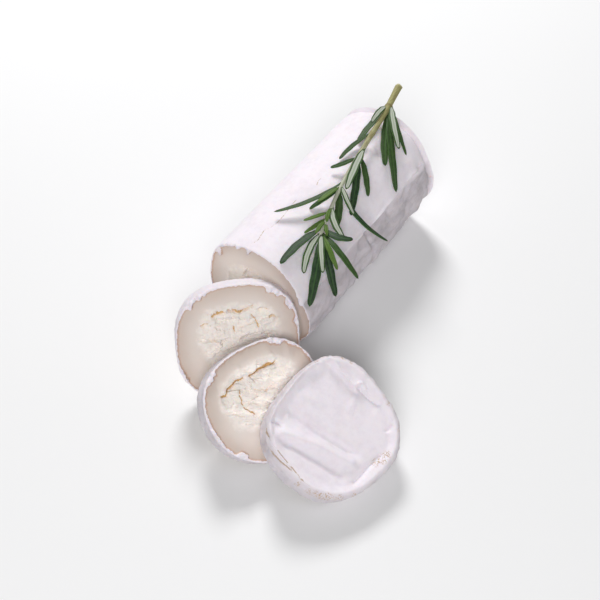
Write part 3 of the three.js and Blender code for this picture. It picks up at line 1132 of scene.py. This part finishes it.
def upright_slice() -> Round:
    """The thin slice that stands nearly upright against the log."""
    return Round(
        node="cut_slice_upright",
        slot="cut_paste",
        radius=25.9,
        depth=4.8,
        waves=(Wave(2, 0.4, 90.0), Wave(3, 0.2, 60.0), Wave(4, 1.0, 42.0)),
        face=(-23.5, -7.6, 25.8),
        heading=225.0,
        tilt=25.0,
        front=CutFace(
            seed=21,
            core=(0.6, 3.2, 16.6, 14.0),
            ledges=(
                Stroke(
                    ((-4, 14.5), (-6, 14), (-7.5, 13.5), (-9.5, 12)),
                    width=0.7, height=-1.2, step=-1.0, fade=4.0, taper=1.0,
                ),
                Stroke(
                    ((7.5, 15.5), (5, 14), (1.5, 13.5), (-3, 15.5)),
                    width=0.45, height=-0.7, step=-0.9, fade=3.0, taper=1.0,
                ),
                Stroke(
                    ((17, 8), (15, 9), (13.5, 9.5), (12, 8.5)),
                    width=0.45, height=-0.5, step=-0.7, fade=3.0, taper=0.8,
                ),
                Stroke(
                    ((12.5, 11.5), (11, 13), (8.5, 13.5)),
                    width=0.4, height=-0.5, step=-0.6, fade=3.0, taper=0.8,
                ),
                Stroke(
                    ((5.5, 11.5), (7, 9), (8, 6.5), (9, 5.5)),
                    width=0.26, height=-0.7, fade=3.0, taper=0.8,
                ),
                Stroke(((-1, 7.5), (-1, 4)), width=0.3, height=-0.6, step=0.4, fade=2.0, taper=0.8),
                Stroke(
                    ((-10, 10), (-12, 10), (-14, 9)),
                    width=0.45, height=-0.6, step=-0.7, fade=3.0, taper=0.8,
                ),
                Stroke(
                    ((-6.5, 1.5), (-9.5, 2.5), (-13, 3.5), (-15.5, 3)),
                    width=0.4, height=-0.3, step=-0.5, fade=3.0, taper=1.0,
                ),
                Stroke(
                    ((-8.5, -2.5), (-11, -2.5), (-14, -2.5)),
                    width=0.4, height=-0.25, step=-0.4, fade=3.0, taper=1.0,
                ),
                Stroke(
                    ((4, 9), (-1, 10.5), (-5, 10)),
                    width=0.5, height=-0.2, step=-0.6, fade=3.0, taper=1.5,
                ),
                Stroke(
                    ((12, 4), (6, 3.5), (1.5, 1.5)),
                    width=0.5, height=-0.2, step=-0.5, fade=3.0, taper=1.5,
                ),
            ),
            rind=0.75,
            crumble=1.7,
            tears=(
                (126.0, 24.0, 1.4),
                (52.0, 18.0, 1.6),
                (33.0, 12.0, 1.5),
                (14.0, 12.0, 1.0),
                (206.0, 14.0, 1.0),
            ),
        ),
        back=CutFace(seed=22, core=(-0.5, 0.5, 15.5, 14.0), crumble=0.8),
        # the side is darkened all round with painted shade
        side=RindSide(seed=23, swell=0.25, wrinkle=0.35, frill=0.5, shade_all_round=0.25),
    )


def leaning_slice() -> Round:
    """The thicker slice that leans on the upright one."""
    return Round(
        node="cut_slice_leaning",
        slot="cut_paste",
        radius=24.3,
        depth=9.0,
        waves=(Wave(2, 0.8, -5.0), Wave(3, 0.7, 40.0), Wave(4, 0.5, 35.0)),
        face=(-37.3, -31.2, 22.5),
        heading=251.0,
        tilt=55.0,
        front=CutFace(
            seed=31,
            core=(-0.3, 4.0, 16.0, 12.6),
            streak=-28.0,
            ledges=(
                Stroke(
                    ((11.5, 11), (9.5, 11), (6.5, 12.5), (4, 13), (1, 13), (-2, 12.5)),
                    width=0.45, height=-1.1, step=-1.2, taper=1.2,
                ),
                Stroke(
                    ((-3, 13), (-6, 13), (-8.5, 12), (-11, 11.5), (-12.5, 9.5), (-15, 10)),
                    width=0.4, height=-1.0, step=-1.0, taper=1.2,
                ),
                Stroke(
                    ((-7, 9.5), (-7.5, 7.5), (-8, 5.5), (-8.5, 2.5), (-7.5, 0), (-6.5, -2.5)),
                    width=0.28, height=-0.8, fade=3.0, taper=1.0,
                ),
                Stroke(
                    ((-10.5, 5.5), (-13, 5), (-15.5, 5)),
                    width=0.4, height=-0.35, step=-0.3, fade=3.0, taper=1.0,
                ),
                Stroke(((3.5, 3), (-3, 7)), width=0.45, height=-0.4, step=-0.4, fade=3.0, taper=1.2),
                Stroke(
                    ((-10, -1), (-13, 2), (-15, 2.5)),
                    width=0.4, height=-0.35, step=-0.3, fade=3.0, taper=1.0,
                ),
            ),
            rind=0.85,
            crumble=1.6,
            tears=(
                (52.0, 16.0, 2.0),
                (36.0, 8.0, 1.5),
                (130.0, 16.0, 1.2),
                (180.0, 30.0, 0.5),
                (214.0, 12.0, 2.6),
            ),
        ),
        back=CutFace(seed=32, core=(0.5, -0.5, 15.5, 14.0), crumble=0.8),
        # the side is darkened all round with painted shade
        side=RindSide(seed=33, swell=0.3, wrinkle=0.4, frill=0.45, shade_all_round=0.85),
    )


def end_slice() -> Round:
    """The log's own end, lying face up with its rind on show."""
    return Round(
        node="end_slice",
        slot="bloomy_rind",
        radius=25.8,
        depth=12.0,
        waves=(Wave(2, 0.5, 40.0), Wave(3, 0.8, -60.0), Wave(4, 0.9, -30.0)),
        face=(-33.4, -60.0, 22.0),
        heading=248.0,
        tilt=62.0,
        front=RindFace(
            seed=41,
            dish_width=5.6,
            dish_depth=1.3,
            folds=(
                Stroke(
                    ((-17, 14), (-12.5, 14.5), (-9.5, 8), (-6.5, 2), (-3, -4), (0.5, -10), (4, -16)),
                    width=1.9, height=-1.5, taper=8.0,
                ),
                Stroke(
                    (
                        (-21, 12), (-18.5, 8.5), (-14, 3.5), (-9.5, -1.5),
                        (-5, -7.5), (-1.5, -13.5), (0.5, -18.5),
                    ),
                    width=1.9, height=1.4, taper=5.0,
                ),
                Stroke(
                    ((-21, 7.5), (-16.5, 2), (-13.5, -4), (-10, -9.5), (-7.5, -14), (-4, -19)),
                    width=2.0, height=-1.5, taper=6.0,
                ),
                Stroke(((-22, 13.5), (-19, 13.5), (-16.5, 9.5)), width=0.9, height=-0.9, taper=2.0),
                Stroke(((-7, 23), (-5, 19), (-2, 14), (2, 8)), width=1.8, height=0.45, taper=6.0),
                Stroke(
                    ((9, 24.5), (10, 22.5), (11, 20.5), (11.5, 17.5), (12.5, 14), (13.5, 10.5), (15.5, 7)),
                    width=0.9, height=0.7, step=2.2, fade=6.0, taper=2.5,
                ),
                Stroke(
                    ((13.5, 10), (17, 8.5), (18.5, 4.5), (21.5, -1.5)),
                    width=0.6, height=-0.8, step=1.5, fade=4.0, taper=2.5,
                ),
                Stroke(((15.5, 10.5), (18, 10), (19, 7)), width=0.5, height=0.6, fade=3.0, taper=1.0),
                Stroke(
                    ((11.5, -17), (5, -19), (0.5, -20.5), (-3, -21), (-5, -21)),
                    width=0.7, height=-0.8, step=0.9, fade=3.5, taper=1.5,
                ),
                Stroke(
                    ((21, -9), (18.5, -10.5), (16, -10)),
                    width=0.6, height=-0.6, step=0.5, fade=3.0, taper=1.5,
                ),
                Stroke(
                    ((-22, 8), (-20.5, 13.5), (-17, 17.5), (-12, 21), (-6.5, 23.5), (0, 24.5), (7.5, 23)),
                    width=0.9, height=0.3, step=2.2, fade=3.5,
                ),
            ),
        ),
        back=CutFace(seed=42, core=(0.0, 0.0, 15.0, 14.0), crumble=0.8),
        # the side is darkened all round with painted shade
        side=RindSide(seed=43, swell=0.45, wrinkle=0.5, shade_all_round=0.6),
        rounding=(3.0, 0.35),
        cracks=(
            Stroke(((-21, 14.5), (-23, 11.5), (-23.5, 8.5), (-23.5, 6.5)), width=0.3),
            Stroke(((-23.5, 6), (-23, 2), (-22.5, -2), (-22, -5.5), (-21.5, -9.5), (-20, -13)), width=0.3),
            Stroke(((-25, 6.5), (-25, 3), (-24.5, -0.5), (-23.5, -3.5), (-22.5, -7.5)), width=0.3),
        ),
        worn=(
            (76.0, 0.6, 1.4),
            (53.0, 0.8, 1.3),
            (46.0, 0.8, 1.6),
            (-4.0, 1.6, 1.4),
            (-68.0, 5.6, 2.4),
            (-62.0, 4.4, 2.6),
            (-55.0, 4.0, 2.2),
            (205.0, 0.3, 1.5),
            (216.0, 0.2, 1.5),
            (222.0, 0.5, 1.9),
            (227.0, 0.3, 2.1),
            (232.0, 0.6, 2.3),
            (237.0, 0.3, 1.9),
            (243.0, 0.6, 1.7),
            (256.0, 0.4, 1.4),
            (-30.0, 1.2, 1.5),
        ),
    )


# ---------------------------------------------------------------- rosemary


class Curve:
    """A smooth line in space that can be read at any share of its length."""

    SAMPLES = 400

    def __init__(self, points: np.ndarray) -> None:
        """Takes points close together along the line, in millimetres."""
        self.points = points
        steps = np.linalg.norm(np.diff(points, axis=0), axis=1)
        self.reached = np.concatenate([[0.0], np.cumsum(steps)])
        self.length = float(self.reached[-1])

    def at(self, share: np.ndarray) -> np.ndarray:
        """The places at those shares of the length."""
        along = share * self.length
        return np.stack([np.interp(along, self.reached, axis) for axis in self.points.T], axis=-1)

    def tangent(self, share: np.ndarray) -> np.ndarray:
        """The direction of the line at those shares."""
        step = 1e-3
        ahead = self.at(np.minimum(share + step, 1.0)) - self.at(np.maximum(share - step, 0.0))
        return ahead / np.linalg.norm(ahead, axis=-1, keepdims=True)

    def across(self, share: np.ndarray) -> tuple[np.ndarray, np.ndarray]:
        """The level direction to the left of the line, and the one square to both."""
        along = self.tangent(share)
        side = np.cross(np.array([0.0, 0.0, 1.0]), along)
        side /= np.linalg.norm(side, axis=-1, keepdims=True)
        return side, np.cross(along, side)

    @classmethod
    def through(cls, route: Sequence[Triple]) -> "Curve":
        """A centripetal Catmull-Rom line through a route's points."""
        knots = np.array(route, float)
        knots = np.vstack([2 * knots[0] - knots[1], knots, 2 * knots[-1] - knots[-2]])
        share = np.linspace(0.0, 1.0, cls.SAMPLES // (len(route) - 1))[:, None]
        parts = []
        for a, b, c, d in zip(knots, knots[1:], knots[2:], knots[3:]):
            gaps = [math.sqrt(np.linalg.norm(q - p)) for p, q in ((a, b), (b, c), (c, d))]
            leave = (b - a) / gaps[0] - (c - a) / (gaps[0] + gaps[1]) + (c - b) / gaps[1]
            reach = (c - b) / gaps[1] - (d - b) / (gaps[1] + gaps[2]) + (d - c) / gaps[2]
            leave, reach = leave * gaps[1], reach * gaps[1]
            square, cube = share**2, share**3
            parts.append(
                b
                + leave * share
                + (-3 * b + 3 * c - 2 * leave - reach) * square
                + (2 * b - 2 * c + leave + reach) * cube
            )
        return cls(np.vstack([parts[0], *[part[1:] for part in parts[1:]]]))

    @classmethod
    def bowed(cls, start: np.ndarray, middle: np.ndarray, end: np.ndarray) -> "Curve":
        """A quadratic Bezier line."""
        share = np.linspace(0.0, 1.0, cls.SAMPLES)[:, None]
        return cls(start * (1 - share) ** 2 + 2 * middle * share * (1 - share) + end * share**2)


class Age(Enum):
    """How old a leaf is, which sets how yellow its green is."""

    OLD = 0.0
    FULL = 0.18
    YOUNG = 0.75


@dataclass(frozen=True)
class Leaf:
    """One leaf, placed as its CAD node is.

    Attributes:
        name: Its name in the sprig.
        at: How far along the stem it grows.
        around: Which side of the stem, from straight up towards the log's left.
        splay: Its angle from the stem.
        length: From stem to tip.
        width: Across the blade.
        rise: How far its middle bows up.
        sweep: How far its middle bows to its left.
        roll: Which way the blade faces; 180 shows its underside.
        age: How old it is.
    """

    name: str
    at: float
    around: float
    splay: float
    length: float
    width: float
    rise: float
    sweep: float
    roll: float
    age: Age = Age.FULL


LEAVES = (
    Leaf("a1", 15, 115, 16, 21, 2.8, -0.5, -0.8, 20),
    Leaf("a2", 14, 60, 14, 13, 2.2, 1.4, 0, 170),
    Leaf("a3", 31, 112, 25, 19, 2.0, -0.4, -1.3, 10),
    Leaf("a4", 14, -126, 23, 29, 3.0, 0, -1.0, -10),
    Leaf("a5", 12, -100, 30, 25, 2.8, 2.6, -1.0, 170),
    Leaf("a6", 12, -118, 42, 25, 1.9, 1.2, -0.5, -30),
    Leaf("a7", 16, -132, 37, 37, 2.8, 3.4, -0.6, -10),
    Leaf("b1", 47, 97, 44, 12, 2.0, 0.2, 0.6, 0),
    Leaf("b2", 41, -60, 9, 26, 3.0, 1.7, 0, 175),
    Leaf("b3", 46, -135, 24, 27, 2.8, 0, 0.2, 10, Age.OLD),
    Leaf("b4", 45, -121, 40, 19, 2.2, 0.7, 0.5, -10),
    Leaf("c1", 62, 85, 37, 32, 2.4, 1.3, 3.2, 20),
    Leaf("c2", 65, 50, 25, 14, 2.2, 1.0, 0.4, 20, Age.YOUNG),
    Leaf("c3", 67, 100, 36, 14, 2.2, 0.6, 0, 10),
    Leaf("c4", 64, -95, 42, 15, 2.2, 2.6, -1.2, 160),
    Leaf("c5", 66, -145, 28, 16, 2.8, 0, 0.2, 0),
    Leaf("c6", 65, -118, 72, 29, 2.4, 1.2, -4.0, -20, Age.OLD),
    Leaf("d1", 75, -98, 38, 16, 2.8, 1.5, -2.0, 170),
    Leaf("d2", 78, 69, 44, 12, 1.6, 0.8, 0.7, 10, Age.YOUNG),
    Leaf("d3", 81, 98, 38, 11, 1.8, 1.0, 0.8, 10, Age.YOUNG),
    Leaf("d4", 76, -30, 14, 8, 1.6, 0.8, -0.4, 0, Age.YOUNG),
    Leaf("e1", 86, 80, 25, 24, 3.2, 0, -1.5, 10, Age.OLD),
    Leaf("e2", 88, 160, 8, 19, 2.6, 1.0, -1.5, 170),
    Leaf("e3", 89, -145, 17, 30, 3.4, 1.5, 0.6, 0, Age.OLD),
    Leaf("e4", 89, -80, 22, 19, 2.4, 3.2, -0.5, 180),
    Leaf("e5", 89, -100, 42, 17, 1.9, 2.6, -0.4, 0, Age.YOUNG),
    Leaf("e6", 88, -105, 57, 24, 2.4, 2.6, -0.6, -10),
    Leaf("e7", 88, -140, 45, 26, 3.0, 2.0, -0.4, 0, Age.OLD),
    Leaf("e8", 86, -90, 84, 13, 2.8, 0.6, -2.2, 0, Age.OLD),
    Leaf("e9", 84, -60, 30, 7, 1.4, 1.0, 0, 0, Age.YOUNG),
    Leaf("e10", 83, 20, 24, 9, 1.4, 0.8, 0, 0, Age.YOUNG),
)


@dataclass
class Sprig:
    """The sprig of rosemary: a stem and its leaves.

    Attributes:
        route: The stem's route, with the log's cut face at X = 0 and its axis at Y = 0.
        cut_radius: The stem's radius where it was cut.
        tip_radius: The stem's radius at its tip.
        leaf_thickness: How thick a leaf is.
        plump: How much fuller a leaf's blade is than its width across the middle.
        whorls: How far along the stem the leaves grow.
        leaf_columns: How many columns of faces go round a leaf.
        leaf_rows: How many rows of faces a leaf has along its length.
        stem_columns: How many columns of faces go round the stem.
        stem_rows: How many rows of faces the stem has along its length.
    """

    route: tuple[Triple, ...] = (
        (109, 2, 58),
        (92, -1.5, 57.2),
        (70, -5, 56.4),
        (44, -9.5, 54.8),
        (21, -15.5, 51.5),
    )
    cut_radius: float = 1.6
    tip_radius: float = 0.6
    leaf_thickness: float = 0.9
    plump: float = 1.15
    whorls: tuple[float, ...] = (13.5, 31.0, 45.5, 65.0, 77.0, 87.5)
    leaf_columns: int = 28
    leaf_rows: int = 30
    stem_columns: int = 28
    stem_rows: int = 150

    def __post_init__(self) -> None:
        """Lays the stem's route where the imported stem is."""
        low, high = (np.array(corner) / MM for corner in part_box("cheese_log"))
        shift = np.array([low[0], (low[1] + high[1]) / 2.0 + self._axis_offset(), 0.0])
        self.stem = Curve.through([tuple(np.array(point) + shift) for point in self.route])

    @staticmethod
    def _axis_offset() -> float:
        """How far the log's axis is from the middle of its box, because of its waves."""
        angle = np.linspace(0.0, 2.0 * math.pi, 60, endpoint=False)
        sideways = -cheese_log().outline(angle) * np.cos(angle)
        return -(sideways.max() + sideways.min()) / 2.0

    def stem_radius(self, share: np.ndarray) -> np.ndarray:
        """The stem's radius at a share of its length."""
        return self.cut_radius + (self.tip_radius - self.cut_radius) * share**0.6

    def leaf_curve(self, leaf: Leaf) -> Curve:
        """The line down the middle of a leaf."""
        share = np.array(leaf.at / self.stem.length)
        foot, along = self.stem.at(share), self.stem.tangent(share)
        up = np.array([0.0, 0.0, 1.0])
        top = up - along * (up @ along)
        top /= np.linalg.norm(top)
        around, splay = math.radians(leaf.around), math.radians(leaf.splay)
        out = top * math.cos(around) + np.cross(along, top) * math.sin(around)
        chord = along * math.cos(splay) + out * math.sin(splay)
        tip = foot + chord * leaf.length
        foot = foot + out * (self.stem_radius(share) * 0.7)
        sideways = np.cross(up, chord)
        bow = sideways / np.linalg.norm(sideways) * leaf.sweep + up * leaf.rise
        return Curve.bowed(foot, (foot + tip) / 2.0 + bow * 2.0, tip)

    def rod(self, name: str, columns: int, rows: int) -> bpy.types.Object:
        """Makes a rod of unit radius that stands from 0 to 1 along Z, to be shaped."""
        deselect_all()
        bpy.ops.mesh.primitive_cylinder_add(
            vertices=columns, radius=MM, depth=MM, end_fill_type="TRIFAN", location=(0.0, 0.0, MM / 2)
        )
        thing = bpy.context.object
        thing.name = name
        subdivide_edges(thing, rows - 1, lambda a, b: np.abs(a[:, 2] - b[:, 2]) > 0.5)
        apply_place(thing)
        return thing

    @staticmethod
    def fullness(share: np.ndarray) -> np.ndarray:
        """How full a leaf is along its length, from a narrow foot to a blunt tip."""
        belly = 0.80 + 0.20 * np.sin(math.pi * np.clip(share, 0.0, 1.0) ** 1.2)
        foot = 0.38 + 0.62 * smoothstep(share, 0.0, 0.30)
        tip = np.sqrt(1.0 - np.clip((share - 0.90) / 0.10, 0.0, 1.0) ** 2)
        return belly * foot * tip * (1.0 - 0.25 * smoothstep(share, 0.62, 1.0))

    def shape_leaf(self, thing: bpy.types.Object, leaf: Leaf) -> None:
        """Bends a copy of the rod into a leaf: a groove above, rolled margins below.

        Args:
            thing: The copy.
            leaf: The leaf.
        """
        rod = corners_of(thing)
        share = np.clip(rod[:, 2], 0.0, 1.0)
        spread = np.minimum(np.hypot(rod[:, 0], rod[:, 1]), 1.0)
        turn = np.arctan2(rod[:, 1], rod[:, 0])
        across, above = np.cos(turn), np.sin(turn)
        groove = 0.55 * bump(across, 0.0, 0.16)
        crown = np.abs(above) ** 0.7 * (1.0 - groove)
        felt = smoothstep(-above, 0.25, 0.45) * smoothstep(np.abs(across), 0.66, 0.52)
        roll_under = -(0.85 * np.abs(above) ** 0.5) + 0.75 * felt * (1.0 - 0.6 * bump(across, 0.0, 0.14))
        over = np.where(above > 0.0, crown, roll_under)
        full = self.fullness(share)
        ends = np.where(spread < 0.5, 0.0, 1.0)
        wobble = 1.0 + 0.05 * np.sin(share * 23.0 + leaf.at) * np.sign(across)
        side_way = across * leaf.width * self.plump * full * wobble / 2.0 * ends
        up_way = over * self.leaf_thickness * full / 2.0 * ends
        vein = 0.5 * bump(across, 0.0, 0.1) * (above > 0.0)
        roll = math.radians(leaf.roll)
        curve = self.leaf_curve(leaf)
        side, top = curve.across(share)
        right = side_way * math.cos(roll) - up_way * math.sin(roll)
        high = side_way * math.sin(roll) + up_way * math.cos(roll)
        move_corners(thing, curve.at(share) + side * right[:, None] + top * high[:, None])
        mark(
            thing,
            {
                "felt": felt * smoothstep(share, 0.02, 0.15) * smoothstep(share, 1.0, 0.93),
                "rib": bump(across, 0.0, 0.16) * (above < 0.0),
                "margin": smoothstep(np.abs(across), 0.78, 0.98) * 0.8 + vein,
                "young": np.full(len(share), leaf.age.value),
            },
        )

    def build_leaves(self, material: bpy.types.Material) -> None:
        """Models a rod once and shapes a copy of it into each leaf."""
        rod = self.rod("leaf_rod", self.leaf_columns, self.leaf_rows)
        for leaf in LEAVES:
            thing = rod.copy()
            thing.data = rod.data.copy()
            thing.name = f"leaf_{leaf.name}_blade"
            bpy.context.scene.collection.objects.link(thing)
            self.shape_leaf(thing, leaf)
            finish_mesh(thing, 70.0)
            dress(thing, material)
            seat(thing, "rosemary_leaf", f"rosemary_leaf_{leaf.name}")
            log.info("%s: %d faces", thing.name, len(thing.data.polygons))
        bpy.data.objects.remove(rod)

    def build_stem(self, material: bpy.types.Material) -> None:
        """Makes the stem: ribs, a swelling at each whorl of leaves and a rough cut end."""
        thing = self.rod("stem_bark", self.stem_columns, self.stem_rows)
        rod = corners_of(thing)
        share = np.clip(rod[:, 2], 0.0, 1.0)
        spread = np.minimum(np.hypot(rod[:, 0], rod[:, 1]), 1.0)
        turn = np.arctan2(rod[:, 1], rod[:, 0])
        along = share * self.stem.length
        swelling = sum(bump(along, at, 1.3) for at in self.whorls)
        ring = bump(along, self.whorls[0], 0.55)
        ribs = 0.06 * np.cos(4.0 * turn) + 0.03 * np.sin(9.0 * turn + along * 0.25)
        grain = Grain(51)
        bark = 0.05 * grain.fractal(np.column_stack([np.cos(turn) * 2, np.sin(turn) * 2, along / 3]), 0.8)
        reach = self.stem_radius(share) * (1.0 + ribs + bark + 0.16 * swelling + 0.10 * ring) * spread
        reach *= 1.0 - 0.75 * smoothstep(share, 0.985, 1.0)
        side, top = self.stem.across(share)
        cut = (share < 1e-6) & (spread < 0.9)
        places = self.stem.at(share) + side * (np.sin(turn) * reach)[:, None]
        places += top * (np.cos(turn) * reach)[:, None]
        places += self.stem.tangent(share) * np.where(cut, 0.35, 0.0)[:, None]
        move_corners(thing, places)
        at_cut = (share < 1e-6).astype(float)
        mark(thing, {"tipward": share, "node_ring": 0.7 * ring, "cut_end": at_cut})
        finish_mesh(thing, 60.0)
        dress(thing, material)
        seat(thing, "rosemary_stem", "rosemary_stem")
        log.info("%s: %d faces", thing.name, len(thing.data.polygons))


# ---------------------------------------------------------------- studio


@dataclass(frozen=True)
class Softbox:
    """A soft studio light: where it hangs, where it points, its size and its power."""

    name: str
    place: Triple
    aim: Triple
    size: float
    power: float
    colour: Triple = (1.0, 1.0, 1.0)

    def hang(self) -> None:
        """Adds the light."""
        lamp = bpy.data.lights.new(self.name, "AREA")
        lamp.shape = "DISK"
        lamp.size = self.size
        lamp.energy = self.power
        lamp.color = self.colour
        thing = bpy.data.objects.new(self.name, lamp)
        thing.location = self.place
        look = Vector(self.aim) - Vector(self.place)
        thing.rotation_mode = "QUATERNION"
        thing.rotation_quaternion = look.to_track_quat("-Z", "Y")
        bpy.context.scene.collection.objects.link(thing)


@dataclass(frozen=True)
class Studio:
    """A pale floor, soft light from above and behind, and a camera that looks down."""

    camera_place: Triple = (-0.2436, -0.1427, 0.3653)
    camera_aim: Triple = (0.0009, 0.0251, 0.0)
    lens: float = 64.9
    floor_size: float = 6.0
    floor_colour: Triple = (0.88, 0.88, 0.885)
    sky_strength: float = 0.22
    lights: tuple[Softbox, ...] = (
        Softbox("key", (0.52, 0.52, 0.72), (0.0, 0.0, 0.02), 0.32, 7.2),
        Softbox("fill", (-0.74, -0.42, 0.80), (-0.02, 0.0, 0.02), 0.6, 7.0),
    )

    def build(self) -> None:
        """Builds the floor, the lights, the sky and the camera."""
        scene = bpy.context.scene
        scene.view_settings.view_transform = "Standard"
        deselect_all()
        bpy.ops.mesh.primitive_plane_add(size=self.floor_size)
        floor = bpy.context.object
        floor.name = "floor"
        shader = Shader("pale_floor")
        dress(floor, shader.finish(Base_Color=self.floor_colour, Roughness=0.9, Specular_IOR_Level=0.1))
        for light in self.lights:
            light.hang()
        scene.world = bpy.data.worlds.new("studio")
        scene.world.use_nodes = True
        sky = scene.world.node_tree.nodes["Background"]
        sky.inputs["Color"].default_value = (1.0, 1.0, 1.0, 1.0)
        sky.inputs["Strength"].default_value = self.sky_strength
        camera = bpy.data.objects.new("camera", bpy.data.cameras.new("camera"))
        camera.data.lens = self.lens
        camera.data.clip_start = 0.01
        camera.location = self.camera_place
        look = Vector(self.camera_aim) - Vector(self.camera_place)
        camera.rotation_mode = "QUATERNION"
        camera.rotation_quaternion = look.to_track_quat("-Z", "Y")
        scene.collection.objects.link(camera)
        scene.camera = camera


def main() -> None:
    """Builds the studio, the cheese and the rosemary, in that order."""
    logging.basicConfig(level=logging.INFO, format="%(name)s %(message)s")
    Studio().build()
    cheese = CheeseFinish().material()
    for piece in (cheese_log(), upright_slice(), leaning_slice(), end_slice()):
        piece.build(cheese)
    sprig = Sprig()
    sprig.build_stem(StemFinish().material())
    sprig.build_leaves(LeafFinish().material())


if __name__ == "__main__":
    main()
